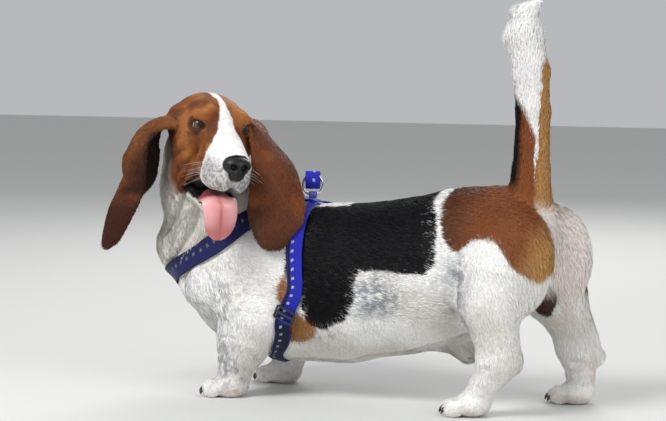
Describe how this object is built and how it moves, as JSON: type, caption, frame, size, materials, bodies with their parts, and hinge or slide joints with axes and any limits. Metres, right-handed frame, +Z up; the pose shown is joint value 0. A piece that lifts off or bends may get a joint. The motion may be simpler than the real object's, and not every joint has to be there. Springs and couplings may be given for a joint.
{
  "type": "basset hound",
  "caption": "Life-size still model of a standing basset hound, head turned over its left shoulder, mouth open, tail raised, in a webbing harness; it stands on its paws.",
  "frame": {"origin": "on the floor under the middle of the model's box", "axes": "+X from the nose end of the body to the tail, +Y to the hound's right, +Z up"},
  "size_m": [0.8237, 0.337, 0.6637],
  "materials": {
    "coat_brown": "short smooth red-brown hair",
    "coat_white": "short smooth white hair with grey ticking",
    "coat_black": "short smooth black hair",
    "nose_leather": "moist pebbled black skin",
    "tongue_skin": "wet pink skin",
    "eye": "clear glossy cornea over a brown iris",
    "webbing_blue": "woven webbing with small pale marks",
    "webbing_black": "woven webbing",
    "ring_steel": "polished wire",
    "buckle_plastic": "moulded"
  },
  "bodies": {
    "root": {"head": "coat_brown", "lower_jaw": "coat_white", "nose": "nose_leather", "tongue": "tongue_skin", "eye_left": "eye", "eye_right": "eye", "ear_left": "coat_brown", "ear_right": "coat_brown", "neck": "coat_white", "torso": "coat_black", "tail": "coat_white", "leg_front_left": "coat_white", "leg_front_right": "coat_white", "leg_hind_left": "coat_white", "leg_hind_right": "coat_white", "strap_girth": "webbing_blue", "strap_neck": "webbing_blue", "strap_sternum": "webbing_black", "withers_plate": "webbing_blue", "withers_ring": "ring_steel", "withers_tab": "webbing_blue", "withers_loop": "webbing_blue", "slider_left": "buckle_plastic", "buckle_right": "buckle_plastic"}
  },
  "joints": []
}
